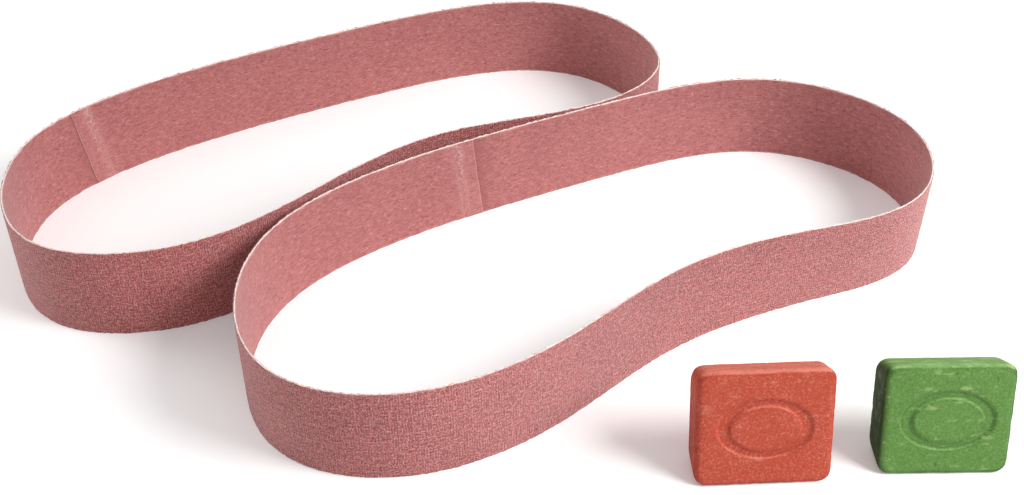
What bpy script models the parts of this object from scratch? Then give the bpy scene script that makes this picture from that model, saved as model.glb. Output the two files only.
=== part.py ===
"""A sharpening kit: two endless strop belts stood on edge, and two cast bars of honing compound.

Each belt is three bonded plies around a kidney-shaped outline, a woven face outside, a white
cloth core and a napped lining inside, with a strip glued over its joint. The bars are blocks
cut from a cast loaf with sloping long sides, and stand on one of those sides.
Metres, +Z up, X along the belts' long way, and the floor at Z = 0.
"""
import math

import bmesh
import bpy
import numpy as np
from mathutils import Vector

MM = 0.001

# Belts
BELT_LENGTH = 0.915
BELT_WIDTH = 0.050
BELT_SEGMENTS = 96
CORE_PLY = 0.50 * MM
FACE_PLY = 0.35 * MM
LINING_PLY = 0.35 * MM
BOND_GAP = 0.10 * MM

# The outline of each belt seen from above, in millimetres, anticlockwise from its left end.
FRONT_OUTLINE = (
    (-101, -73), (-88, -151), (-26, -172), (42, -141), (100, -90), (175, -53),
    (231, -22), (235, 38), (167, 82), (79, 59), (11, 26), (-52, -12),
)
BACK_OUTLINE = (
    (-238, 6), (-210, -67), (-134, -70), (-76, -23), (-16, 26), (67, 56),
    (105, 104), (66, 166), (-2, 172), (-75, 142), (-142, 106), (-206, 61),
)

# The front belt's near wall leans out at the top, most at LEAN_CENTRE.
LEAN = Vector((1.8 * MM, -5.1 * MM, 0.0))
LEAN_CENTRE = Vector((0.194, -0.044, 0.0))
LEAN_RADIUS = 0.052

# The strip over each belt's joint, on the lining
STRIP_WIDTH = 0.011
STRIP_PLY = 0.20 * MM
STRIP_INSET = 0.3 * MM

# Compound bars
RED_WIDTH = 0.060
RED_HEIGHT = 0.056
GREEN_WIDTH = 0.057
GREEN_HEIGHT = 0.054
BAR_DEPTH = 0.018
BAR_SLOPE = math.radians(16)
BAR_CORNER = 0.0055
BAR_EDGE = 0.0026
GROOVE_RADIUS = 0.0125
GROOVE_WIDTH = 0.0036
GROOVE_DEPTH = 0.0009
GROOVE_STRETCH = 1.45


def linear(level):
    """One 0 to 255 screen level as the linear value a shader takes."""
    level = level / 255
    return level / 12.92 if level <= 0.04045 else ((level + 0.055) / 1.055) ** 2.4


def material(name, colour, roughness):
    """A Principled material of one screen colour."""
    made = bpy.data.materials.new(name)
    made.use_nodes = True
    shader = made.node_tree.nodes["Principled BSDF"]
    shader.inputs["Base Color"].default_value = [linear(level) for level in colour] + [1.0]
    shader.inputs["Roughness"].default_value = roughness
    shader.inputs["Metallic"].default_value = 0.0
    return made


def woven_pink():
    return material("woven_pink", (190, 112, 112), 0.85)


def white_cloth():
    return material("white_cloth", (236, 222, 212), 0.90)


def napped_pink():
    return material("napped_pink", (193, 118, 115), 0.95)


def strip_pink():
    return material("strip_pink", (176, 104, 101), 0.80)


def red_compound():
    return material("red_compound", (205, 84, 68), 0.60)


def green_compound():
    return material("green_compound", (112, 166, 88), 0.60)


def new_collection(name):
    made = bpy.data.collections.new(name)
    bpy.context.scene.collection.children.link(made)
    return made


def add_object(name, mesh, collection, surface=None):
    made = bpy.data.objects.new(name, mesh)
    collection.objects.link(made)
    if surface is not None:
        mesh.materials.clear()
        mesh.materials.append(surface)
    return made


def evaluated_mesh(obj):
    """The object's mesh with its modifiers applied, as a mesh of its own."""
    graph = bpy.context.evaluated_depsgraph_get()
    return bpy.data.meshes.new_from_object(obj.evaluated_get(graph))


def steps_between(path):
    """The length from each point of a closed path to the next."""
    return np.linalg.norm(np.roll(path, -1, axis=0) - path, axis=1)


def closed_spline(points, samples=64):
    """A smooth closed curve through the points, with curvature that runs on across each one."""
    points = np.array(points, float)
    count = len(points)
    span = np.sqrt(steps_between(points))
    system = np.zeros((count, count))
    target = np.zeros((count, 2))
    for i in range(count):
        before, after = span[i - 1], span[i]
        nxt = (i + 1) % count
        system[i, i - 1] += after
        system[i, i] += 2 * (before + after)
        system[i, nxt] += before
        rise_before = (points[i] - points[i - 1]) / before
        rise_after = (points[nxt] - points[i]) / after
        target[i] = 3 * (after * rise_before + before * rise_after)
    tangents = np.linalg.solve(system, target)
    u = np.linspace(0, 1, samples, endpoint=False)[:, None]
    pieces = []
    for i in range(count):
        nxt = (i + 1) % count
        pieces.append(
            (2 * u**3 - 3 * u**2 + 1) * points[i]
            + (u**3 - 2 * u**2 + u) * tangents[i] * span[i]
            + (3 * u**2 - 2 * u**3) * points[nxt]
            + (u**3 - u**2) * tangents[nxt] * span[i]
        )
    return np.vstack(pieces)


def point_along(path, distance):
    """The point that far along a closed path from its first point."""
    along = np.concatenate([[0], np.cumsum(steps_between(path))])
    closed = np.vstack([path, path[:1]])
    distance = distance % along[-1]
    return np.array([np.interp(distance, along, closed[:, axis]) for axis in (0, 1)])


def belt_path(outline):
    """The belt's middle line from above, at its true length, in equal steps."""
    curve = closed_spline(outline) * MM
    middle = curve.mean(axis=0)
    curve = middle + (curve - middle) * BELT_LENGTH / steps_between(curve).sum()
    step = BELT_LENGTH / BELT_SEGMENTS
    return np.array([point_along(curve, i * step) for i in range(BELT_SEGMENTS)])


def parallel(path, distance):
    """The closed path moved outwards, so that each of its sides moves by the distance."""
    ahead = np.roll(path, -1, axis=0) - path
    ahead /= np.linalg.norm(ahead, axis=1)[:, None]
    outward = np.stack([ahead[:, 1], -ahead[:, 0]], axis=1)
    behind = np.roll(outward, 1, axis=0)
    share = 1 + (outward * behind).sum(axis=1)
    return path + distance * (outward + behind) / share[:, None]


def band_curve(name, path):
    """An upright open band along a closed path, as wide as the belt."""
    curve = bpy.data.curves.new(name, "CURVE")
    curve.dimensions = "2D"
    curve.fill_mode = "NONE"
    curve.extrude = BELT_WIDTH / 2
    spline = curve.splines.new("POLY")
    spline.points.add(len(path) - 1)
    for point, (x, y) in zip(spline.points, path):
        point.co = (x, y, 0.0, 1.0)
    spline.use_cyclic_u = True
    return curve


def solidify(obj, thickness):
    wall = obj.modifiers.new("Wall", "SOLIDIFY")
    wall.thickness = thickness
    wall.offset = 0.0
    wall.use_even_offset = True


def lean_out(mesh):
    """Move the top edge outwards around LEAN_CENTRE, and leave the bottom edge flat."""
    for vertex in mesh.vertices:
        if vertex.co.z > BELT_WIDTH / 2:
            level = Vector((vertex.co.x, vertex.co.y, 0.0))
            away = (level - LEAN_CENTRE).length / LEAN_RADIUS
            vertex.co += LEAN * math.exp(-away * away)


def add_ply(name, path, offset, thickness, surface, leaning, collection):
    """One ply of a belt: a closed band of even thickness, its middle at the offset."""
    guide = bpy.data.objects.new(name + "_guide", band_curve(name, parallel(path, offset)))
    collection.objects.link(guide)
    band = add_object(name, evaluated_mesh(guide), collection, surface)
    bpy.data.objects.remove(guide)
    band.location.z = BELT_WIDTH / 2
    solidify(band, thickness)
    wall = evaluated_mesh(band)
    band.modifiers.clear()
    wall.transform(band.matrix_basis)
    band.location.z = 0.0
    if leaning:
        lean_out(wall)
    band.data = wall
    return band


def add_strip(name, path, offset, start, slant, collection):
    """The glued strip: a thin sheet on the lining, its foot further along than its head."""
    columns = 4
    bpy.ops.mesh.primitive_grid_add(x_subdivisions=columns, y_subdivisions=1, size=1)
    strip = bpy.context.object
    strip.name = name
    for other in list(strip.users_collection):
        other.objects.unlink(strip)
    collection.objects.link(strip)
    line = parallel(path, offset)
    stretch = steps_between(line).sum() / BELT_LENGTH
    for vertex in strip.data.vertices:
        across = vertex.co.x + 0.5
        up = vertex.co.y + 0.5
        place = start - across * STRIP_WIDTH - (1 - up) * slant
        x, y = point_along(line, place * stretch)
        height = STRIP_INSET + up * (BELT_WIDTH - 2 * STRIP_INSET)
        vertex.co = (x, y, height)
    solidify(strip, STRIP_PLY)
    strip.data.materials.append(strip_pink())
    return strip


def add_belt(name, outline, strip_start, strip_slant, leaning, collection):
    """A belt's three plies, outside to inside, and the strip over its joint."""
    path = belt_path(outline)
    face_offset = CORE_PLY / 2 + BOND_GAP + FACE_PLY / 2
    lining_offset = -(CORE_PLY / 2 + BOND_GAP + LINING_PLY / 2)
    strip_offset = lining_offset - (LINING_PLY / 2 + BOND_GAP + STRIP_PLY / 2)
    plies = (
        ("woven_face", face_offset, FACE_PLY, woven_pink()),
        ("cloth_core", 0.0, CORE_PLY, white_cloth()),
        ("napped_lining", lining_offset, LINING_PLY, napped_pink()),
    )
    for ply, offset, thickness, surface in plies:
        add_ply(f"{name}_{ply}", path, offset, thickness, surface, leaning, collection)
    add_strip(f"{name}_joint_strip", path, strip_offset, strip_start, strip_slant, collection)


def bar_block(name, width, height):
    """A block with its front foot edge on the X axis, narrower behind, its corners rounded."""
    bpy.ops.mesh.primitive_cube_add(size=1)
    block = bpy.context.object
    block.name = name
    fall = BAR_DEPTH * math.tan(BAR_SLOPE)
    for vertex in block.data.vertices:
        behind = vertex.co.y > 0
        top = vertex.co.z > 0
        inset = fall if behind else 0.0
        vertex.co.x *= width
        vertex.co.y = BAR_DEPTH if behind else 0.0
        vertex.co.z = height - inset if top else inset
    work = bmesh.new()
    work.from_mesh(block.data)
    through = [
        edge for edge in work.edges
        if abs(edge.verts[0].co.y - edge.verts[1].co.y) > BAR_DEPTH / 2
    ]
    bmesh.ops.bevel(
        work, geom=through, offset=BAR_CORNER, segments=5, profile=0.5, affect="EDGES"
    )
    work.to_mesh(block.data)
    work.free()
    rounding = block.modifiers.new("Edges", "BEVEL")
    rounding.width = BAR_EDGE
    rounding.segments = 3
    rounding.limit_method = "ANGLE"
    rounding.angle_limit = math.radians(40)
    return block


def groove_cutter(name, collection):
    """A turned ring with sloping sides, stretched to an oval, that presses in the groove."""
    inner = GROOVE_RADIUS - GROOVE_WIDTH / 2
    outer = GROOVE_RADIUS + GROOVE_WIDTH / 2
    slope = GROOVE_DEPTH / 2
    above = 0.004
    profile = (
        (outer + slope, above),
        (outer, -GROOVE_DEPTH),
        (inner, -GROOVE_DEPTH),
        (inner - slope, above),
    )
    mesh = bpy.data.meshes.new(name)
    verts = [(radius, 0.0, height) for radius, height in profile]
    edges = [(i, (i + 1) % len(verts)) for i in range(len(verts))]
    mesh.from_pydata(verts, edges, [])
    cutter = add_object(name, mesh, collection)
    turn = cutter.modifiers.new("Turn", "SCREW")
    turn.angle = math.tau
    turn.steps = 40
    turn.render_steps = 40
    turn.use_merge_vertices = True
    turn.merge_threshold = 0.00001
    cutter.hide_render = True
    cutter.display_type = "WIRE"
    return cutter


def add_bar(name, surface, width, height, x, y, turn, collection, cutters):
    """A bar stood on its lower sloping side, so that its marked face leans back a little."""
    place = bpy.data.objects.new(name + "_place", None)
    collection.objects.link(place)
    place.location = (x, y, 0.0)
    place.rotation_euler = (-BAR_SLOPE, 0.0, turn)
    bar = bar_block(name, width, height)
    for other in list(bar.users_collection):
        other.objects.unlink(bar)
    collection.objects.link(bar)
    bar.parent = place
    bar.data.materials.append(surface)
    cutter = groove_cutter(name + "_groove", cutters)
    cutter.parent = place
    cutter.location = (0.0, 0.0, height / 2)
    cutter.rotation_euler = (math.pi / 2, 0.0, 0.0)
    cutter.scale = (GROOVE_STRETCH, 1.0, 1.0)
    groove = bar.modifiers.new("Groove", "BOOLEAN")
    groove.operation = "DIFFERENCE"
    groove.solver = "EXACT"
    groove.object = cutter


def clear_scene():
    for obj in list(bpy.context.scene.objects):
        bpy.data.objects.remove(obj)


def main():
    clear_scene()
    kit = new_collection("strop_belt_kit")
    cutters = new_collection("cutters")
    add_belt("front_belt", FRONT_OUTLINE, 0.787, 0.005, True, kit)
    add_belt("back_belt", BACK_OUTLINE, 0.873, 0.007, False, kit)
    red, green = red_compound(), green_compound()
    add_bar("red_bar", red, RED_WIDTH, RED_HEIGHT, 0.131, -0.177, math.radians(3), kit, cutters)
    add_bar("green_bar", green, GREEN_WIDTH, GREEN_HEIGHT, 0.210, -0.171, math.radians(1), kit, cutters)


main()
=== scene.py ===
"""The looks of a sharpening kit: two endless strop belts on edge, and two bars of honing compound.

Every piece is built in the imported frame's own metres. A belt's middle surface is read from its
CAD core, and its plies, joint and fibres are swept along that surface. A bar is worn down from its
CAD block.
"""

import math

import bmesh
import bpy
import numpy as np
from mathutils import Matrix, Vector, noise


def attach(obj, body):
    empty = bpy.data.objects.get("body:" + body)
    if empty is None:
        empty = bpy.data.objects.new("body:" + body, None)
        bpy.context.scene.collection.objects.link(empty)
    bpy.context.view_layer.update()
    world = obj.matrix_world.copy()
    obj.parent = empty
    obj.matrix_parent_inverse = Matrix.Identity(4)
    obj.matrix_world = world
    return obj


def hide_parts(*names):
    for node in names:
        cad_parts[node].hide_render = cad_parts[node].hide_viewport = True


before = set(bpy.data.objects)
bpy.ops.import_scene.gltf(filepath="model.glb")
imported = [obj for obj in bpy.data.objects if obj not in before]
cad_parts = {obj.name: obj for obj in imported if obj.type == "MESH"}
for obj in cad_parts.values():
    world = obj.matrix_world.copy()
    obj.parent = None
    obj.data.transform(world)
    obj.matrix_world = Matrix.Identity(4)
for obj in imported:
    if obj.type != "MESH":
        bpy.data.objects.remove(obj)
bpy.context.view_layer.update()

MM = 0.001
UP = np.array([0.0, 0.0, 1.0])

# Camera, at the photograph's angle
CAMERA_PLACE = (0.031, -0.560, 0.4333)
CAMERA_PITCH = math.radians(35.51)
CAMERA_LENS = 45.81
CAMERA_SHIFT = (-0.0189, -0.0610)

# Light: a soft key from the right, a weak fill from the left, and a sky that is bright overhead
KEY_AZIMUTH = math.radians(-20)
KEY_ELEVATION = math.radians(38)
KEY_DISTANCE = 1.35
KEY_SIZE = 0.68
KEY_POWER = 18.0
FILL_AZIMUTH = math.radians(165)
FILL_ELEVATION = math.radians(18)
FILL_DISTANCE = 1.35
FILL_SIZE = 0.60
FILL_POWER = 7.2
HORIZON_STRENGTH = 0.18
ZENITH_STRENGTH = 0.67
FLOOR_SIZE = 30.0
FLOOR_GLOW = 0.12

# Belt build, measured outwards from the belt's middle surface
BELTS = ("front_belt", "back_belt")
FIRST_BELT_SEED = 11
CORE_HALF = 0.34 * MM
FACE_IN = 0.36 * MM
FACE_OUT = 0.70 * MM
LINING_OUT = -0.36 * MM
LINING_IN = -0.70 * MM
FINE_STEPS = 4096
CREASE = math.radians(50)
HIDDEN_SIDE = np.array([0.005, 0.5, 0.995])
CORE_WALL = np.array([0.02, 0.5, 0.98])

# Relief of the cloth
RIB_PITCH = 1.18 * MM
PICK_PITCH = 2.04 * MM
FACE_ROWS = 50
WEAVE_RELIEF = 0.045 * MM
NAP_RELIEF = 0.030 * MM
LINING_COLUMNS = 1200
LINING_ROWS = 40
CORE_COLUMNS = 1800
CORE_RIM = 5
CORE_CROWN = 0.12 * MM
CORE_RIPPLE = 0.05 * MM
LOWEST_CORE = 0.02 * MM
SEAM_DEPTH = 0.10 * MM
SEAM_WIDTH = 0.6 * MM

# Cut edges
EDGE_FRAY = 0.22 * MM
EDGE_REACH = 0.4 * MM
FACE_EDGE_DROP = 0.12 * MM
LINING_EDGE_DROP = 0.10 * MM
FACE_WEAR_REACH = 0.6 * MM
LINING_WEAR_REACH = 0.8 * MM

# Joint strip
STRIP_COLUMNS = 28
STRIP_ROWS = 64
STRIP_INSET = 0.25 * MM
STRIP_THICK = 0.26 * MM
STRIP_THIN = 0.04 * MM
STRIP_FEATHER = 2.6 * MM
STRIP_WAVER = 0.10 * MM
STRIP_SINK = 0.05 * MM
# A darker band on the lining past the strip's sharp edge: painted shade on the back belt, where
# that edge faces away from the key; a plain darker band on the front belt
JOINT_DARKENING_REACH = 4.5 * MM
JOINT_DARKENING_SHARE = {"front_belt": 0.75, "back_belt": 0.40}
RUB_REACH = 1.6 * MM
RUB_SHARE = 0.22
SHARP_EDGE_IS_FIRST = {"front_belt": True, "back_belt": False}
# Painted light on the strip's sharp edge: a painted highlight on the front belt, a painted shadow
# on the back belt
SHARP_EDGE_PAINTED_LIGHT = {"front_belt": 0.0, "back_belt": -0.1}

# Loose fibres on the cut edges
FIBRES = 260
FIBRE_RADIUS = 0.035 * MM
FIBRE_LENGTH = (0.5 * MM, 1.9 * MM)
FIBRE_SPREAD = 0.6 * MM
FIBRES_ON_TOP = 0.8
LOW_FIBRE = 0.25 * MM
FIBRE_SIDES = 4
FIBRE_STATIONS = np.array([0.0, 0.35, 0.7, 1.0])
FIBRE_TAPER = np.array([1.0, 0.9, 0.7, 0.35])

# Bars: the mesh, then each relief's depth, and its cells in a metre
BAR_VOXEL = 0.50 * MM
BAR_WEAR = 5
EDGE_BULGE = 0.18 * MM
WAVE_DEPTH, WAVE_DENSITY = 0.09 * MM, 110
GRAIN_DEPTH, GRAIN_DENSITY = 0.06 * MM, 850
PIT_DEPTH, PIT_DENSITY = 0.35 * MM, 420
CHIP_DENSITY = 260

# Noise on the cloth: cells in a metre along the belt and up it, detail, and roughness
SWAY = (230.0, 190.0, 2.0, 0.5)
RIB_BREAK = (620.0, 150.0, 2.0, 0.6)
PICK_BREAK = (240.0, 500.0, 2.0, 0.6)
GRIT = (1350.0, 1100.0, 3.0, 0.8)
CLUMP = (480.0, 430.0, 2.0, 0.6)
FLECK = (820.0, 820.0, 1.0, 0.5)
NAP_CURL = (480.0, 850.0, 2.0, 0.6)
NAP_FIBRE = (240.0, 1050.0, 2.0, 0.6)
NAP_GRAIN = (1150.0, 1300.0, 2.0, 0.7)
NAP_CLUMP = (190.0, 330.0, 2.0, 0.6)
NAP_SPECK = (330.0, 700.0, 1.0, 0.5)
RUB_DOTS = (620.0, 460.0, 2.0, 0.7)
THREAD_ENDS = (1300.0, 1300.0, 2.0, 0.6)

# Screen colours, 0 to 255
WOVEN_DYE = ((187, 88, 85), (199, 100, 97))
# Painted shade for the weave's furrows and painted highlight for its thread tops
WOVEN_FURROW_PAINTED_SHADE = (106, 38, 40)
WOVEN_TOP_PAINTED_HIGHLIGHT = (234, 164, 160)
WOVEN_FLECKS = ((243, 205, 198), (92, 32, 36))
WOVEN_WORN = (220, 170, 165)
WOVEN_SHEEN = (232, 222, 222)
NAP_DYE = ((168, 99, 97), (174, 105, 102))
# Painted shade for the nap's low roots and painted highlight for its tips
NAP_ROOT_PAINTED_SHADE = (120, 60, 60)
NAP_TIP_PAINTED_HIGHLIGHT = (214, 150, 146)
NAP_DARK_SPECK = (118, 58, 60)
# Colour of the darker band past the joint's sharp edge, painted shade on the back belt
NAP_JOINT_DARKENING = (140, 74, 70)
NAP_WORN = (226, 182, 176)
NAP_SHEEN = (232, 218, 218)
STRIP_FADED = (216, 164, 160)
STRIP_RUBBED = (220, 176, 172)
# Painted highlight and painted shadow along the strip's sharp cut edge
STRIP_PAINTED_HIGHLIGHT_EDGE = (222, 172, 166)
STRIP_PAINTED_SHADOW_EDGE = (74, 30, 32)
COTTON = ((224, 200, 194), (246, 234, 229))
COTTON_DUST = (232, 196, 190)
FIBRE_COTTON = ((250, 242, 236), (232, 190, 184))
PAPER = ((250, 250, 250), (254, 254, 254))

# Each bar's body and node: its material, its random offset, its screen colours, and how far the
# smears and the painted shade on its ends cover it
BARS = {
    "red_bar": {
        "material": "red_wax",
        "offset": 3.0,
        "body": (178, 72, 51),
        "deep": (134, 34, 20),
        "bloom": (202, 113, 95),
        "smear": (222, 142, 122),
        "smear_share": 0.22,
        "end_shade_share": 0.22,
    },
    "green_bar": {
        "material": "green_wax",
        "offset": 8.0,
        "body": (90, 130, 60),
        "deep": (23, 52, 15),
        "bloom": (113, 151, 87),
        "smear": (164, 189, 118),
        "smear_share": 0.45,
        "end_shade_share": 0.92,
    },
}


def tone(screen):
    """A 0 to 255 screen colour as the linear colour that a shader takes."""
    levels = [level / 255 for level in screen]
    return [x / 12.92 if x <= 0.04045 else ((x + 0.055) / 1.055) ** 2.4 for x in levels] + [1.0]


# ---------------------------------------------------------------- materials


class Surface:
    """A Principled material, with short calls that add nodes to it."""

    def __init__(self, name, **constants):
        self.material = bpy.data.materials.new(name)
        self.material.use_nodes = True
        self.tree = self.material.node_tree
        self.shader = self.tree.nodes["Principled BSDF"]
        for socket, value in constants.items():
            self.shader.inputs[socket.replace("_", " ")].default_value = value

    def add(self, kind, inputs=None, **settings):
        node = self.tree.nodes.new("ShaderNode" + kind)
        for name, value in settings.items():
            setattr(node, name, value)
        for socket, value in (inputs or {}).items():
            self.feed(node.inputs[socket], value)
        return node

    def feed(self, socket, value):
        if isinstance(value, bpy.types.NodeSocket):
            self.tree.links.new(value, socket)
        else:
            socket.default_value = value

    def drive(self, socket, value):
        self.feed(self.shader.inputs[socket], value)

    def maths(self, operation, *values):
        return self.add("Math", dict(enumerate(values)), operation=operation).outputs[0]

    def place(self):
        """The point on the piece, in metres."""
        return self.add("TexCoord").outputs["Object"]

    def cloth(self):
        """The point on the cloth: metres along the belt, and up from its foot."""
        return self.add("UVMap", uv_map="cloth").outputs["UV"]

    def split(self, vector):
        return self.add("SeparateXYZ", {0: vector}).outputs

    def attribute(self, name):
        return self.add("Attribute", attribute_name=name).outputs["Fac"]

    def centred(self, value, gain):
        """A 0 to 1 value moved to swing evenly about 0."""
        return self.maths("MULTIPLY", self.maths("SUBTRACT", value, 0.5), gain)

    def scaled(self, vector, factors):
        node = self.add("VectorMath", {0: vector, 1: factors}, operation="MULTIPLY")
        return node.outputs[0]

    def noise(self, vector, scale, detail=2.0, roughness=0.5):
        inputs = {"Vector": vector, "Scale": scale, "Detail": detail, "Roughness": roughness}
        return self.add("TexNoise", inputs).outputs[0]

    def cloth_noise(self, cloth, kind):
        """One of the kinds of noise listed above."""
        along, up, detail, roughness = kind
        return self.noise(self.scaled(cloth, (along, up, 1.0)), 1.0, detail, roughness)

    def levels(self, value, low, high, to_low=0.0, to_high=1.0):
        """The value's stretch from low to high spread over to_low to to_high, and held there."""
        inputs = {0: value, 1: low, 2: high, 3: to_low, 4: to_high}
        return self.add("MapRange", inputs, interpolation_type="SMOOTHSTEP").outputs[0]

    def mix(self, share, first, second):
        node = self.add("Mix", {"Factor": share}, data_type="RGBA", blend_type="MIX")
        self.feed(node.inputs[6], first)
        self.feed(node.inputs[7], second)
        return node.outputs[2]

    def bump(self, height, distance, strength=1.0):
        inputs = {"Height": height, "Distance": distance, "Strength": strength}
        return self.add("Bump", inputs).outputs["Normal"]


def weave_height(made, cloth):
    """The weave's height, about -2 to 2: ribs and picks that sway and break off, and grit."""
    along, up = made.split(cloth)[:2]
    sway = made.centred(made.cloth_noise(cloth, SWAY), 1.5)
    rib = made.maths("MULTIPLY_ADD", along, 1 / RIB_PITCH, sway)
    pick = made.maths("MULTIPLY_ADD", up, 1 / PICK_PITCH, sway)
    rib = made.maths("COSINE", made.maths("MULTIPLY", rib, math.tau))
    pick = made.maths("COSINE", made.maths("MULTIPLY", pick, math.tau))
    rib_break = made.cloth_noise(cloth, RIB_BREAK)
    pick_break = made.cloth_noise(cloth, PICK_BREAK)
    rib = made.maths("MULTIPLY", rib, made.levels(rib_break, 0.42, 0.64, 0.05, 1.0))
    pick = made.maths("MULTIPLY", pick, made.levels(pick_break, 0.44, 0.66, 0.0, 0.85))
    grit = made.centred(made.cloth_noise(cloth, GRIT), 14.0)
    clump = made.centred(made.cloth_noise(cloth, CLUMP), 3.8)
    return made.maths("ADD", made.maths("ADD", rib, pick), made.maths("ADD", grit, clump))


def woven_cloth():
    """Coarse dyed weave: painted shade in the furrows, painted highlight on the thread tops,
    flecks, patches and worn edges.
    """
    made = Surface("woven_cloth", Sheen_Weight=0.75, Sheen_Roughness=0.3)
    made.shader.inputs["Sheen Tint"].default_value = tone(WOVEN_SHEEN)
    cloth = made.cloth()
    height = weave_height(made, cloth)
    patch = made.noise(made.place(), 38.0, 4.0, 0.6)
    first, second = WOVEN_DYE
    colour = made.mix(made.levels(patch, 0.36, 0.64), tone(first), tone(second))
    # Painted shade in the low furrows, painted highlight on the high thread tops
    colour = made.mix(made.levels(height, 0.2, -2.0, 0.0, 0.92), colour, tone(WOVEN_FURROW_PAINTED_SHADE))
    colour = made.mix(made.levels(height, 0.0, 2.1, 0.0, 0.92), colour, tone(WOVEN_TOP_PAINTED_HIGHLIGHT))
    fleck = made.cloth_noise(cloth, FLECK)
    light, dark = WOVEN_FLECKS
    colour = made.mix(made.levels(fleck, 0.66, 0.76, 0.0, 0.6), colour, tone(light))
    colour = made.mix(made.levels(fleck, 0.33, 0.25, 0.0, 0.6), colour, tone(dark))
    colour = made.mix(made.attribute("wear"), colour, tone(WOVEN_WORN))
    made.drive("Base Color", colour)
    made.drive("Roughness", made.levels(height, -1.0, 1.0, 0.95, 0.75))
    made.drive("Normal", made.bump(height, 0.085 * MM))
    return made.material


def napped_colour(made, cloth):
    """The nap's colour and height: short fibres along the belt, soft curls and dark specks, with
    painted shade at the fibre roots and a painted highlight on the tips.
    """
    height = made.centred(made.cloth_noise(cloth, NAP_CURL), 2.0)
    for kind, gain in ((NAP_FIBRE, 1.7), (NAP_GRAIN, 2.0), (NAP_CLUMP, 1.2)):
        height = made.maths("ADD", height, made.centred(made.cloth_noise(cloth, kind), gain))
    patch = made.noise(made.place(), 42.0, 3.0, 0.6)
    speck = made.cloth_noise(cloth, NAP_SPECK)
    first, second = NAP_DYE
    colour = made.mix(made.levels(patch, 0.34, 0.66), tone(first), tone(second))
    # Painted shade where the nap is low, painted highlight where it is high
    colour = made.mix(made.levels(height, 0.1, -1.05, 0.0, 0.90), colour, tone(NAP_ROOT_PAINTED_SHADE))
    colour = made.mix(made.levels(height, 0.0, 1.2, 0.0, 0.80), colour, tone(NAP_TIP_PAINTED_HIGHLIGHT))
    colour = made.mix(made.levels(speck, 0.36, 0.27, 0.0, 0.55), colour, tone(NAP_DARK_SPECK))
    return colour, height


def napped_leather():
    """Suede-like nap: soft, sheeny, with a darker band beside the joint's sharp edge, painted shade
    on the back belt.
    """
    made = Surface("napped_leather", Sheen_Weight=0.45, Sheen_Roughness=0.5)
    made.shader.inputs["Sheen Tint"].default_value = tone(NAP_SHEEN)
    colour, height = napped_colour(made, made.cloth())
    # Darker band past the strip's sharp edge: painted shade on the back belt, a darker band on the
    # front belt
    colour = made.mix(made.attribute("joint_darkening"), colour, tone(NAP_JOINT_DARKENING))
    colour = made.mix(made.attribute("wear"), colour, tone(NAP_WORN))
    made.drive("Base Color", colour)
    made.drive("Roughness", made.levels(height, -0.8, 0.8, 0.98, 0.84))
    made.drive("Normal", made.bump(height, 0.10 * MM))
    return made.material


def rubbed_nap():
    """The nap on the joint strip: rubbed pale where it thins out, its sharp cut edge given a
    painted highlight on the front belt and a painted shadow on the back belt.
    """
    made = Surface("rubbed_nap", Sheen_Weight=0.45, Sheen_Roughness=0.5)
    made.shader.inputs["Sheen Tint"].default_value = tone(NAP_SHEEN)
    cloth = made.cloth()
    colour, height = napped_colour(made, cloth)
    lap = made.attribute("lap")
    up = made.split(cloth)[1]
    dots = made.cloth_noise(cloth, RUB_DOTS)
    rubbed = made.levels(made.maths("ABSOLUTE", made.maths("SUBTRACT", lap, 0.86)), 0.42, 0.06)
    rubbed = made.maths("MULTIPLY", rubbed, made.levels(dots, 0.42, 0.66, 0.10, 0.55))
    rubbed = made.maths("MULTIPLY", rubbed, made.levels(up, 0.012, 0.044, 0.45, 1.0))
    colour = made.mix(made.levels(lap, 1.0, 0.6, 0.0, 0.06), colour, tone(STRIP_FADED))
    colour = made.mix(rubbed, colour, tone(STRIP_RUBBED))
    # Painted highlight along the sharp cut edge, then painted shadow where lap is below 0 (the back
    # belt)
    colour = made.mix(made.levels(lap, 0.05, 0.01, 0.0, 0.40), colour, tone(STRIP_PAINTED_HIGHLIGHT_EDGE))
    colour = made.mix(made.levels(lap, -0.02, -0.10, 0.0, 0.85), colour, tone(STRIP_PAINTED_SHADOW_EDGE))
    made.drive("Base Color", colour)
    made.drive("Roughness", made.levels(height, -0.8, 0.8, 0.96, 0.82))
    made.drive("Normal", made.bump(height, 0.10 * MM))
    return made.material


def cut_cotton():
    """Undyed cotton at the cut edges: cream, with thread ends and a little pink dust."""
    made = Surface("cut_cotton", Sheen_Weight=0.4, Sheen_Roughness=0.5)
    ends = made.cloth_noise(made.cloth(), THREAD_ENDS)
    dust = made.noise(made.place(), 160.0, 3.0, 0.65)
    shade, light = COTTON
    colour = made.mix(made.levels(ends, 0.38, 0.62), tone(shade), tone(light))
    colour = made.mix(made.levels(dust, 0.54, 0.74, 0.0, 0.35), colour, tone(COTTON_DUST))
    made.drive("Base Color", colour)
    made.drive("Roughness", made.levels(ends, 0.3, 0.7, 0.98, 0.85))
    made.drive("Normal", made.bump(ends, 0.15 * MM, 0.8))
    return made.material


def loose_cotton():
    """Stray fibres: cream, with faint pink dust here and there."""
    made = Surface("loose_cotton", Roughness=0.9, Sheen_Weight=0.5)
    dust = made.noise(made.place(), 700.0, 2.0)
    fine = made.noise(made.place(), 5000.0, 2.0)
    clean, dusty = FIBRE_COTTON
    made.drive("Base Color", made.mix(made.levels(dust, 0.45, 0.65), tone(clean), tone(dusty)))
    made.drive("Roughness", made.levels(fine, 0.3, 0.7, 0.95, 0.8))
    made.drive("Normal", made.bump(fine, 0.01 * MM, 0.6))
    return made.material


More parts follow.
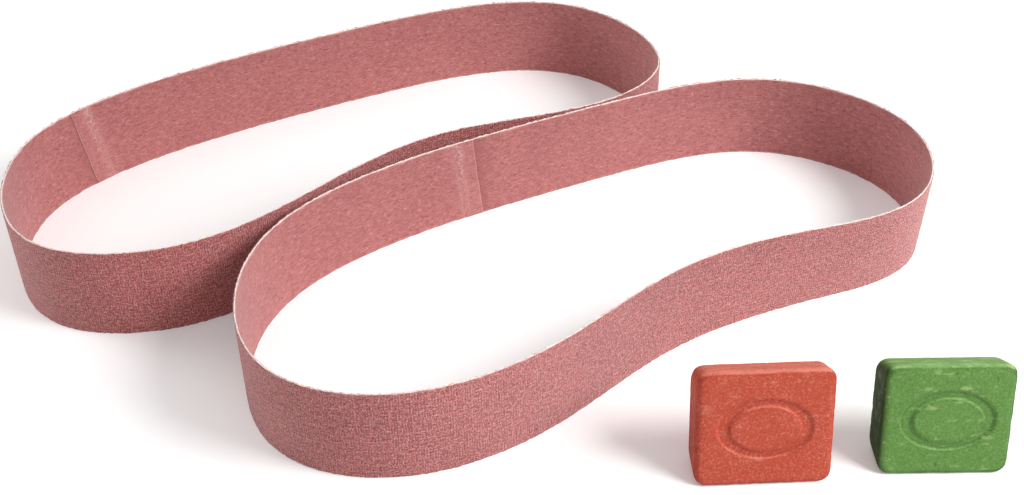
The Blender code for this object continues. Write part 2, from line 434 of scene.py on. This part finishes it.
def cast_compound(look):
    """Waxy cast compound: fine powder, bare deep edges, painted shade on the ends and in the
    hollows, dust and smears on top, pits.
    """
    made = Surface(look["material"], IOR=1.45, Specular_IOR_Level=0.30)
    deep = tone(look["deep"])
    place = made.place()
    edge = made.attribute("edge")
    dust = made.attribute("dust")
    end = made.attribute("end")
    grain = made.noise(place, 1000.0, 2.0, 0.7)
    cloud = made.noise(place, 60.0, 3.0, 0.6)
    drag = made.noise(made.scaled(place, (130.0, 300.0, 280.0)), 1.0, 3.0, 0.6)
    spot = made.noise(place, 430.0, 2.0, 0.6)
    powder = made.maths("ADD", made.centred(cloud, 0.5), made.centred(grain, 2.4))
    powder = made.maths("ADD", powder, made.maths("MULTIPLY", dust, 0.65))
    colour = made.mix(made.levels(powder, -0.10, 0.70), tone(look["body"]), tone(look["bloom"]))
    colour = made.mix(made.levels(powder, -0.05, -0.80, 0.0, 0.45), colour, deep)
    bare = made.maths("MULTIPLY", edge, made.maths("SUBTRACT", 1.0, dust))
    colour = made.mix(made.levels(bare, 0.15, 0.85, 0.0, 0.50), colour, deep)
    # Painted shade in the hollows, where the edge measure falls below 0
    colour = made.mix(made.levels(edge, -0.10, -0.75, 0.0, 0.50), colour, deep)
    # Painted shade on the bar's ends, the faces turned along x
    colour = made.mix(made.levels(end, 0.0, 1.0, 0.0, look["end_shade_share"]), colour, deep)
    crumbs = made.maths("MULTIPLY_ADD", dust, 0.09, drag)
    crumbs = made.maths("MULTIPLY_ADD", made.maths("MULTIPLY", edge, dust), 0.12, crumbs)
    crumbs = made.maths("MULTIPLY_ADD", end, -0.10, crumbs)
    smeared = made.levels(crumbs, 0.58, 0.72, 0.0, look["smear_share"])
    colour = made.mix(smeared, colour, tone(look["smear"]))
    colour = made.mix(made.levels(spot, 0.30, 0.22, 0.0, 0.7), colour, deep)
    made.drive("Base Color", colour)
    made.drive("Roughness", made.levels(drag, 0.35, 0.7, 0.82, 0.55))
    height = made.maths("MULTIPLY_ADD", spot, 0.6, made.noise(place, 900.0, 1.0))
    made.drive("Normal", made.bump(height, 0.11 * MM))
    return made.material


# ---------------------------------------------------------------- shared shapes


def add_mesh(name, points, faces, surface):
    """A smooth mesh object in the scene, creased where it turns sharply."""
    mesh = bpy.data.meshes.new(name)
    mesh.from_pydata(points.tolist(), [], faces.tolist())
    mesh.materials.append(surface)
    mesh.shade_smooth()
    mesh.set_sharp_from_angle(angle=CREASE)
    made = bpy.data.objects.new(name, mesh)
    bpy.context.scene.collection.objects.link(made)
    return made


def store(mesh, name, values):
    """Give each vertex a number that its material reads."""
    layer = mesh.attributes.new(name, "FLOAT", "POINT")
    layer.data.foreach_set("value", np.asarray(values, np.float32).ravel())


def soft_noise(random, shape, spread):
    """Smooth random values, of unit spread, on a grid that closes on itself."""
    field = random.standard_normal(shape)
    for axis, width in enumerate(spread):
        fade = np.exp(-2 * (np.pi * np.fft.fftfreq(shape[axis]) * width) ** 2)
        fade = fade.reshape([-1 if axis == i else 1 for i in range(len(shape))])
        field = np.fft.ifft(np.fft.fft(field, axis=axis) * fade, axis=axis).real
    return field / field.std()


def near_edge(heights, top, reach):
    """1 at the belt's two cut edges, fading to 0 over the reach."""
    gap = np.minimum(heights, top - heights)
    return np.clip(1 - gap / reach, 0, 1)


# ---------------------------------------------------------------- a belt's middle surface


def node_points(node):
    """A CAD node's corners, each once."""
    corners = np.array([vertex.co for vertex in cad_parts[node].data.vertices])
    return np.unique(np.round(corners, 6), axis=0)


def middle_line(corners, height):
    """The middle line of a thin closed wall at one height, as an unordered set of points."""
    ring = corners[np.abs(corners[:, 2] - height) < MM][:, :2]
    gaps = np.linalg.norm(ring[:, None] - ring[None], axis=2)
    np.fill_diagonal(gaps, np.inf)
    partner = gaps.argmin(axis=1)
    return np.unique(np.round((ring + ring[partner]) / 2, 7), axis=0)


def in_order(points):
    """The points of a loop in order round it, anticlockwise from above."""
    left = list(range(1, len(points)))
    order = [0]
    while left:
        gaps = np.linalg.norm(points[left] - points[order[-1]], axis=1)
        order.append(left.pop(int(gaps.argmin())))
    loop = points[order]
    ahead = np.roll(loop, -1, axis=0)
    turned = (loop[:, 0] * ahead[:, 1] - loop[:, 1] * ahead[:, 0]).sum()
    return loop if turned > 0 else loop[::-1]


def smooth_loop(points):
    """FINE_STEPS points on the smooth closed curve through evenly spaced points."""
    waves = np.fft.rfft(points, axis=0)
    return np.fft.irfft(waves, FINE_STEPS, axis=0) * FINE_STEPS / len(points)


class Band:
    """A belt's middle surface: a foot line, a top line, and where its joint strip lies."""

    def __init__(self, belt):
        core = node_points(f"{belt}_cloth_core")
        self.height = core[:, 2].max()
        foot = in_order(middle_line(core, 0.0))
        top = middle_line(core, self.height)
        gaps = np.linalg.norm(foot[:, None] - top[None], axis=2)
        self.foot = smooth_loop(foot)
        self.top = smooth_loop(top[gaps.argmin(axis=1)])
        steps = np.linalg.norm(np.roll(self.foot, -1, axis=0) - self.foot, axis=1)
        self.length = steps.sum()
        strip = node_points(f"{belt}_joint_strip")
        start = int(self.nearest(strip[:, :2].mean(axis=0)))
        self.foot = np.roll(self.foot, -start, axis=0)
        self.top = np.roll(self.top, -start, axis=0)
        self.strip_foot = self.strip_reach(strip[strip[:, 2] < self.height / 2])
        self.strip_top = self.strip_reach(strip[strip[:, 2] > self.height / 2])

    def nearest(self, point):
        """The number of the foot line's step that is nearest to a point."""
        return np.linalg.norm(self.foot - point, axis=1).argmin()

    def from_joint(self, along):
        """Lengths from 0 to once round, as lengths either way from the joint's middle."""
        return np.where(along > self.length / 2, along - self.length, along)

    def strip_reach(self, corners):
        """Where the strip starts and ends along the belt at one height, from its middle."""
        steps = np.array([self.nearest(corner[:2]) for corner in corners])
        along = self.from_joint(steps * self.length / FINE_STEPS)
        return along.min(), along.max()

    def strip_edges(self, heights):
        """The strip's two edges along the belt, at each height."""
        share = heights / self.height
        first = self.strip_foot[0] + (self.strip_top[0] - self.strip_foot[0]) * share
        last = self.strip_foot[1] + (self.strip_top[1] - self.strip_foot[1]) * share
        return first, last

    def line_at(self, line, along):
        steps = np.arange(FINE_STEPS) * self.length / FINE_STEPS
        axes = [np.interp(along, steps, line[:, i], period=self.length) for i in (0, 1)]
        return np.stack(axes, axis=-1)

    def middle(self, along, heights):
        share = (heights / self.height)[..., None]
        foot = self.line_at(self.foot, along)
        return (1 - share) * foot + share * self.line_at(self.top, along)

    def place(self, along, heights, outward):
        """Points that far along the belt, up from its foot and outwards from its middle."""
        along, heights, outward = np.broadcast_arrays(along, heights, outward)
        step = self.length / FINE_STEPS
        ahead = self.middle(along + step, heights) - self.middle(along - step, heights)
        ahead /= np.linalg.norm(ahead, axis=-1, keepdims=True)
        side = np.stack([ahead[..., 1], -ahead[..., 0]], axis=-1)
        flat = self.middle(along, heights) + side * outward[..., None]
        return np.concatenate([flat, heights[..., None]], axis=-1)


def sweep(name, band, heights, outward, surface):
    """A closed ring of cloth: a closed section, repeated at each step along the belt.

    heights and outward hold one value for each step and section point.
    """
    columns, section = outward.shape
    step_length = band.length / columns
    along = np.arange(columns)[:, None] * step_length
    points = band.place(along, heights, outward).reshape(-1, 3)
    step, turn = np.meshgrid(np.arange(columns), np.arange(section), indexing="ij")
    next_turn = (turn + 1) % section
    corners = [(step, turn), (step + 1, turn), (step + 1, next_turn), (step, next_turn)]
    faces = np.stack([a % columns * section + b for a, b in corners], axis=-1)
    ring = add_mesh(name, points, faces.reshape(-1, 4), surface)
    cloth = [np.stack([a * step_length, heights[a % columns, b]], axis=-1) for a, b in corners]
    layer = ring.data.uv_layers.new(name="cloth")
    layer.data.foreach_set("uv", np.stack(cloth, axis=2).astype(np.float32).ravel())
    return ring


# ---------------------------------------------------------------- belt pieces


def declare(piece, belt, node):
    """A cloth piece of a belt rides on it and stands in for its CAD node, which it hides."""
    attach(piece, belt)
    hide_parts(f"{belt}_{node}")
    return piece


def seam_groove(band, columns, level):
    """The depth of the slanting line where the woven face's two ends meet."""
    along = band.from_joint(np.arange(columns)[:, None] * band.length / columns)
    first, last = band.strip_edges(level[None])
    away = (along - (first + last) / 2) / SEAM_WIDTH
    return SEAM_DEPTH * np.exp(-away * away)


def thread_relief(random, columns, rows):
    """The height of each thread crossing: a rib every second column, a pick every second row."""
    step, row = np.meshgrid(np.arange(columns), np.arange(rows), indexing="ij")
    ribs = np.where(step % 2 == 0, 1.0, -1.0) * (0.4 + 0.6 * soft_noise(random, step.shape, (2, 3)))
    picks = np.where(row % 2 == 0, 1.0, -1.0) * (0.4 + 0.6 * soft_noise(random, row.shape, (4, 1)))
    uneven = soft_noise(random, step.shape, (0.6, 0.6))
    return WEAVE_RELIEF * (0.6 * ribs + 0.6 * picks + 0.7 * uneven)


def woven_ply(belt, band, surface, random):
    """The woven outer face: thread tops in relief, and a cut edge that follows the threads."""
    columns = 2 * round(band.length / RIB_PITCH)
    rows = FACE_ROWS + 1
    level = np.linspace(0, band.height, rows)
    section = np.concatenate([level, band.height * HIDDEN_SIDE[::-1]])
    heights = np.tile(section, (columns, 1))
    outward = np.full(heights.shape, FACE_IN)
    outward[:, :rows] = FACE_OUT + thread_relief(random, columns, rows)
    outward[:, :rows] -= FACE_EDGE_DROP * near_edge(level, band.height, EDGE_REACH)
    outward[:, :rows] -= seam_groove(band, columns, level)
    ends = soft_noise(random, (columns, 2), (0.7, 0))
    heights[:, 0] += EDGE_FRAY * np.clip(ends[:, 0] + 1, 0, 2.5)
    heights[:, rows - 1] += EDGE_FRAY * np.clip(ends[:, 1] - 0.2, -2.5, 1.2)
    ply = sweep(f"{belt}_woven_cloth", band, heights, outward, surface)
    wear = near_edge(heights, band.height, FACE_WEAR_REACH)
    wear *= 0.25 + 0.3 * soft_noise(random, heights.shape, (2, 1))
    store(ply.data, "wear", np.clip(wear, 0, 0.85))
    return declare(ply, belt, "woven_face")


def cloth_core(belt, band, surface, random):
    """The white core: plain walls, and rims with thread ends that stand up unevenly."""
    rim = np.linspace(CORE_HALF, -CORE_HALF, CORE_RIM)
    crown = CORE_CROWN * np.cos(np.pi * rim / (2 * CORE_HALF) * 0.9)
    top = band.height - 0.10 * MM + crown
    bottom = 0.14 * MM - crown
    walls = band.height * CORE_WALL
    section = np.concatenate([walls, top, walls[::-1], bottom[::-1]])
    wall = np.full(len(walls), CORE_HALF)
    sides = np.concatenate([wall, rim, -wall, rim[::-1]])
    heights = np.tile(section, (CORE_COLUMNS, 1))
    outward = np.tile(sides, (CORE_COLUMNS, 1))
    top_turns = slice(len(walls), len(walls) + CORE_RIM)
    foot_turns = slice(len(section) - CORE_RIM, len(section))
    for turns, lift in ((top_turns, 1), (foot_turns, -1)):
        ends = soft_noise(random, (CORE_COLUMNS, CORE_RIM), (0.8, 0.7))
        heights[:, turns] += lift * EDGE_FRAY * 0.8 * np.clip(ends, -1.5, 2.2)
        outward[:, turns] += CORE_RIPPLE * soft_noise(random, ends.shape, (1.2, 0.6))
    heights = np.maximum(heights, LOWEST_CORE)
    core = sweep(f"{belt}_cut_core", band, heights, outward, surface)
    return declare(core, belt, "cloth_core")


def beside_joint(belt, band, heights, reach, past_sharp=True):
    """1 where the lining meets the strip's sharp (or thinned) edge, fading to 0 away from it."""
    along = band.from_joint(np.arange(len(heights))[:, None] * band.length / len(heights))
    first, last = band.strip_edges(heights)
    before = SHARP_EDGE_IS_FIRST[belt] == past_sharp
    away = first - along if before else along - last
    return np.where(away > -MM, np.exp(-np.maximum(away, 0) / reach), 0)


def napped_ply(belt, band, surface, random):
    """The napped lining: darker past the strip's sharp edge, as painted shade on the back belt,
    rubbed past its thinned one.
    """
    rows = LINING_ROWS + 1
    level = np.linspace(band.height, 0, rows)
    section = np.concatenate([level, band.height * HIDDEN_SIDE])
    heights = np.tile(section, (LINING_COLUMNS, 1))
    outward = np.full(heights.shape, LINING_OUT)
    nap = soft_noise(random, (LINING_COLUMNS, rows), (1.2, 0.6))
    swell = soft_noise(random, nap.shape, (14, 8))
    outward[:, :rows] = LINING_IN + NAP_RELIEF * (0.6 * nap + 0.6 * swell)
    outward[:, :rows] += LINING_EDGE_DROP * near_edge(level, band.height, EDGE_REACH)
    ends = soft_noise(random, (LINING_COLUMNS, 2), (0.8, 0))
    heights[:, 0] += EDGE_FRAY * 0.6 * np.clip(ends[:, 0] - 2.3, -3.4, 0)
    heights[:, rows - 1] += EDGE_FRAY * 0.6 * np.clip(ends[:, 1] + 1, 0, 2.5)
    ply = sweep(f"{belt}_suede_lining", band, heights, outward, surface)
    # The darker band past the sharp edge, painted shade on the back belt
    joint_darkening = beside_joint(belt, band, heights, JOINT_DARKENING_REACH)
    store(ply.data, "joint_darkening", JOINT_DARKENING_SHARE[belt] * joint_darkening)
    wear = near_edge(heights, band.height, LINING_WEAR_REACH)
    wear *= 0.4 + 0.3 * soft_noise(random, heights.shape, (2, 1))
    wear += RUB_SHARE * beside_joint(belt, band, heights, RUB_REACH, past_sharp=False)
    store(ply.data, "wear", np.clip(wear, 0, 0.8))
    return declare(ply, belt, "napped_lining")


def closed_patch(name, face, back, surface):
    """A thin closed sheet between two grids of points, its face towards the loop's inside."""
    columns, rows = face.shape[:2]
    behind = columns * rows
    number = np.arange(behind).reshape(columns, rows)
    a, b, c, d = number[:-1, :-1], number[1:, :-1], number[1:, 1:], number[:-1, 1:]
    front_faces = np.stack([a, d, c, b], axis=-1).reshape(-1, 4)
    back_faces = np.stack([a, b, c, d], axis=-1).reshape(-1, 4) + behind
    rim = np.concatenate([number[:, 0], number[-1, 1:], number[-2::-1, -1], number[0, -2:0:-1]])
    after = np.roll(rim, -1)
    rim_faces = np.stack([rim, after, after + behind, rim + behind], axis=-1)
    points = np.concatenate([face.reshape(-1, 3), back.reshape(-1, 3)])
    faces = np.concatenate([front_faces, back_faces, rim_faces])
    return add_mesh(name, points, faces, surface)


def joint_strip(belt, band, surface, random):
    """The strip over the joint: a sharp cut edge on one side, and skived thin on the other."""
    share = np.linspace(0, 1, STRIP_COLUMNS)
    level = np.linspace(STRIP_INSET, band.height - STRIP_INSET, STRIP_ROWS)
    first, last = band.strip_edges(level)
    width = (last - first).mean()
    from_sharp = share if SHARP_EDGE_IS_FIRST[belt] else 1 - share
    to_thin = (1 - from_sharp) * width
    thick = STRIP_THIN + (STRIP_THICK - STRIP_THIN) * np.clip(to_thin / STRIP_FEATHER, 0, 1)
    along = first[None] + (last - first)[None] * share[:, None]
    nap = NAP_RELIEF * soft_noise(random, along.shape, (0.8, 0.8))
    waver = STRIP_WAVER * soft_noise(random, (1, STRIP_ROWS), (0, 3))
    along = along + waver * (np.abs(share[:, None] - 0.5) > 0.49)
    face = band.place(along, level[None], LINING_IN - thick[:, None] + nap)
    back = band.place(along, level[None], np.full(along.shape, LINING_IN + STRIP_SINK))
    strip = closed_patch(f"{belt}_lap_strip", face, back, surface)
    map_cloth(strip, along, level)
    lap = np.broadcast_to(from_sharp[:, None], along.shape).copy()
    # The sharp edge's column: lap 0 takes a painted highlight, below 0 a painted shadow as well
    lap[from_sharp < 0.5 / STRIP_COLUMNS] = SHARP_EDGE_PAINTED_LIGHT[belt]
    store(strip.data, "lap", np.concatenate([lap.ravel(), lap.ravel()]))
    return declare(strip, belt, "joint_strip")


def map_cloth(strip, along, level):
    """The strip's cloth map: both sides of it hold the same points along and up the belt."""
    cloth = np.stack([along, np.broadcast_to(level, along.shape)], axis=-1).reshape(-1, 2)
    corners = np.zeros(len(strip.data.loops), np.int32)
    strip.data.loops.foreach_get("vertex_index", corners)
    layer = strip.data.uv_layers.new(name="cloth")
    layer.data.foreach_set("uv", cloth[corners % len(cloth)].astype(np.float32).ravel())


def fibre_spine(band, random):
    """The curling middle line of one fibre, its heading, and the way outwards from the belt."""
    along = random.uniform(0, band.length)
    outward = random.uniform(-FIBRE_SPREAD, FIBRE_SPREAD)
    at_top = random.random() < FIBRES_ON_TOP
    root = band.place(along, band.height if at_top else LOW_FIBRE, outward)
    ahead = band.place(along + MM, root[2], outward) - root
    ahead /= np.linalg.norm(ahead)
    side = np.array([ahead[1], -ahead[0], 0.0])
    length = random.uniform(*FIBRE_LENGTH) * random.uniform(0.4, 1.0)
    lean = random.uniform(-1, 1) * ahead + random.uniform(-0.7, 0.7) * side
    rise = UP * random.uniform(0.25, 0.9) if at_top else UP * random.uniform(0.0, 0.25)
    heading = lean + rise
    heading /= np.linalg.norm(heading)
    curl = random.uniform(-0.35, 0.35) * side + random.uniform(-0.35, 0.35) * ahead
    reach = FIBRE_STATIONS[:, None]
    return root + length * (reach * heading + reach**2 * curl), heading, side


def fibre_tube(spine, heading, side):
    """Rings of points round a fibre's middle line, smaller towards its tip."""
    across = np.cross(heading, UP + 0.1 * side)
    across /= np.linalg.norm(across)
    over = np.cross(heading, across)
    angles = np.arange(FIBRE_SIDES) * math.tau / FIBRE_SIDES
    circle = np.cos(angles)[:, None] * across + np.sin(angles)[:, None] * over
    tube = spine[:, None] + FIBRE_RADIUS * FIBRE_TAPER[:, None, None] * circle[None]
    return tube.reshape(-1, 3)


def tube_faces(base, stations, sides):
    """The faces of one tube with closed ends."""
    faces = []
    for station in range(stations - 1):
        low = base + station * sides
        high = low + sides
        for i in range(sides):
            j = (i + 1) % sides
            faces.append((low + i, high + i, high + j, low + j))
    faces.append(tuple(base + i for i in range(sides)))
    end = base + (stations - 1) * sides
    faces.append(tuple(end + i for i in reversed(range(sides))))
    return faces


def edge_fibres(belt, band, surface, random):
    """Short loose fibres along the cut edges, each a thin tapered tube."""
    stations = len(FIBRE_STATIONS)
    points, faces = [], []
    for number in range(FIBRES):
        points.append(fibre_tube(*fibre_spine(band, random)))
        faces.extend(tube_faces(number * stations * FIBRE_SIDES, stations, FIBRE_SIDES))
    fibres = add_mesh(f"{belt}_loose_fibres", np.concatenate(points), np.array(faces), surface)
    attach(fibres, belt)


def dress_belt(belt, surfaces, seed):
    """All the pieces of one belt."""
    random = np.random.default_rng(seed)
    band = Band(belt)
    core = cloth_core(belt, band, surfaces["core"], random)
    woven = woven_ply(belt, band, surfaces["woven"], random)
    lining = napped_ply(belt, band, surfaces["lining"], random)
    joint_strip(belt, band, surfaces["strip"], random)
    edge_fibres(belt, band, surfaces["fibres"], random)


# ---------------------------------------------------------------- compound bars


def even_copy(name, node):
    """A CAD node's shape as a new mesh of small even faces, its edges worn round."""
    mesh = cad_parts[node].data.copy()
    mesh.name = name
    work = bmesh.new()
    work.from_mesh(mesh)
    bmesh.ops.remove_doubles(work, verts=work.verts, dist=0.01 * MM)
    work.to_mesh(mesh)
    work.free()
    copy = bpy.data.objects.new(name, mesh)
    bpy.context.scene.collection.objects.link(copy)
    even = copy.modifiers.new("Even", "REMESH")
    even.mode = "VOXEL"
    even.voxel_size = BAR_VOXEL
    worn = copy.modifiers.new("Worn", "SMOOTH")
    worn.factor = 0.5
    worn.iterations = BAR_WEAR
    graph = bpy.context.evaluated_depsgraph_get()
    copy.data = bpy.data.meshes.new_from_object(copy.evaluated_get(graph))
    copy.modifiers.clear()
    return copy


def mesh_arrays(mesh):
    """A mesh's points, normals and edges as arrays."""
    points = np.zeros(len(mesh.vertices) * 3, np.float32)
    normals = np.zeros(len(mesh.vertices) * 3, np.float32)
    edges = np.zeros(len(mesh.edges) * 2, np.int32)
    mesh.vertices.foreach_get("co", points)
    mesh.vertices.foreach_get("normal", normals)
    mesh.edges.foreach_get("vertices", edges)
    points = points.reshape(-1, 3).astype(float)
    normals = normals.reshape(-1, 3).astype(float)
    return points, normals, edges.reshape(-1, 2)


def spread_over(values, edges, rounds):
    """Values on a mesh's vertices, each replaced by the mean of its neighbours, several times."""
    count = np.zeros(len(values))
    np.add.at(count, edges.ravel(), 1)
    for _ in range(rounds):
        total = np.zeros_like(values)
        np.add.at(total, edges[:, 0], values[edges[:, 1]])
        np.add.at(total, edges[:, 1], values[edges[:, 0]])
        values = total / count.reshape([-1] + [1] * (values.ndim - 1))
    return values


def edge_measure(points, normals, edges):
    """About 1 on the bar's worn outer edges, 0 on its flats and below 0 in its hollows."""
    pulled = spread_over(points, edges, 6)
    bulge = ((points - pulled) * normals).sum(axis=1)
    bulge = spread_over(bulge, edges, 4)
    return np.clip(bulge / EDGE_BULGE, -1, 1)


def weathered(points, normals, edge, offset):
    """The points pushed along their normals: slow waves, grain, pits, and chips on the edges."""
    moved = np.zeros(len(points))
    shift = Vector((offset, offset * 0.37, offset * 0.71))
    for i, point in enumerate(points):
        place = Vector(point)
        wave = noise.noise(place * WAVE_DENSITY + shift)
        grain = noise.fractal(place * GRAIN_DENSITY + shift, 0.8, 2.1, 3)
        pit = noise.noise(place * PIT_DENSITY + shift * 3)
        chip = noise.noise(place * CHIP_DENSITY + shift * 5)
        depth = WAVE_DEPTH * wave + GRAIN_DEPTH * grain
        depth -= PIT_DEPTH * max(0.0, pit - 0.42) * 1.6
        depth -= PIT_DEPTH * max(0.0, edge[i]) * max(0.0, chip - 0.05) * 1.5
        moved[i] = depth
    return points + normals * moved[:, None]


def cast_bar(body, look):
    """One bar: worn edges, pits and grain as real relief, and what its material reads."""
    bar = even_copy(f"{body}_casting", body)
    points, normals, edges = mesh_arrays(bar.data)
    edge = edge_measure(points, normals, edges)
    points = weathered(points, normals, edge, look["offset"])
    points[:, 2] = np.maximum(points[:, 2], 0.0)
    bar.data.vertices.foreach_set("co", points.astype(np.float32).ravel())
    bar.data.materials.clear()
    bar.data.materials.append(cast_compound(look))
    bar.data.shade_smooth()
    store(bar.data, "edge", edge)
    store(bar.data, "dust", np.clip((normals[:, 2] - 0.55) / 0.35, 0, 1))
    # Where the faces turn along x, which the material darkens as painted shade
    store(bar.data, "end", np.clip((np.abs(normals[:, 0]) - 0.45) / 0.5, 0, 1))
    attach(bar, body)
    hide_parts(body)
    return bar


# ---------------------------------------------------------------- studio


def add_floor():
    bpy.ops.mesh.primitive_plane_add(size=FLOOR_SIZE)
    floor = bpy.context.object
    floor.name = "studio_floor"
    paper = Surface("floor_paper", Roughness=0.9, Emission_Strength=FLOOR_GLOW)
    mottle = paper.noise(paper.place(), 3.0, 2.0)
    shade, light = PAPER
    paper.drive("Base Color", paper.mix(mottle, tone(shade), tone(light)))
    floor.data.materials.append(paper.material)


def add_soft_light(name, azimuth, elevation, distance, size, power):
    """A round white light that far from the origin, and facing it."""
    data = bpy.data.lights.new(name, "AREA")
    data.shape = "DISK"
    data.size = size
    data.energy = power
    lamp = bpy.data.objects.new(name, data)
    bpy.context.scene.collection.objects.link(lamp)
    heading = Vector((math.cos(azimuth), math.sin(azimuth), math.tan(elevation)))
    place = heading.normalized() * distance
    lamp.location = place
    lamp.rotation_euler = (-place).to_track_quat("-Z", "Y").to_euler()


def add_sky():
    """A white sky, bright overhead and dim at the horizon, which the camera sees as plain white."""
    world = bpy.data.worlds.new("studio")
    world.use_nodes = True
    nodes = world.node_tree.nodes
    links = world.node_tree.links
    background = nodes["Background"]
    background.inputs["Color"].default_value = (1.0, 1.0, 1.0, 1.0)
    heading = nodes.new("ShaderNodeTexCoord").outputs["Generated"]
    parts = nodes.new("ShaderNodeSeparateXYZ")
    rise = nodes.new("ShaderNodeMapRange")
    rise.inputs["To Min"].default_value = HORIZON_STRENGTH
    rise.inputs["To Max"].default_value = ZENITH_STRENGTH
    seen = nodes.new("ShaderNodeLightPath").outputs["Is Camera Ray"]
    strength = nodes.new("ShaderNodeMath")
    strength.operation = "MAXIMUM"
    links.new(heading, parts.inputs[0])
    links.new(parts.outputs["Z"], rise.inputs["Value"])
    links.new(rise.outputs[0], strength.inputs[0])
    links.new(seen, strength.inputs[1])
    links.new(strength.outputs[0], background.inputs["Strength"])
    bpy.context.scene.world = world


def add_camera():
    data = bpy.data.cameras.new("camera")
    data.lens = CAMERA_LENS
    data.shift_x, data.shift_y = CAMERA_SHIFT
    camera = bpy.data.objects.new("camera", data)
    bpy.context.scene.collection.objects.link(camera)
    camera.location = CAMERA_PLACE
    camera.rotation_euler = (math.pi / 2 - CAMERA_PITCH, 0.0, 0.0)
    bpy.context.scene.camera = camera


def make_scene():
    bpy.context.scene.view_settings.view_transform = "Standard"
    add_camera()
    add_floor()
    add_sky()
    add_soft_light("key", KEY_AZIMUTH, KEY_ELEVATION, KEY_DISTANCE, KEY_SIZE, KEY_POWER)
    add_soft_light("fill", FILL_AZIMUTH, FILL_ELEVATION, FILL_DISTANCE, FILL_SIZE, FILL_POWER)
    surfaces = {
        "woven": woven_cloth(),
        "core": cut_cotton(),
        "lining": napped_leather(),
        "strip": rubbed_nap(),
        "fibres": loose_cotton(),
    }
    for seed, belt in enumerate(BELTS, FIRST_BELT_SEED):
        dress_belt(belt, surfaces, seed)
    cast_bar("red_bar", BARS["red_bar"])
    cast_bar("green_bar", BARS["green_bar"])


make_scene()
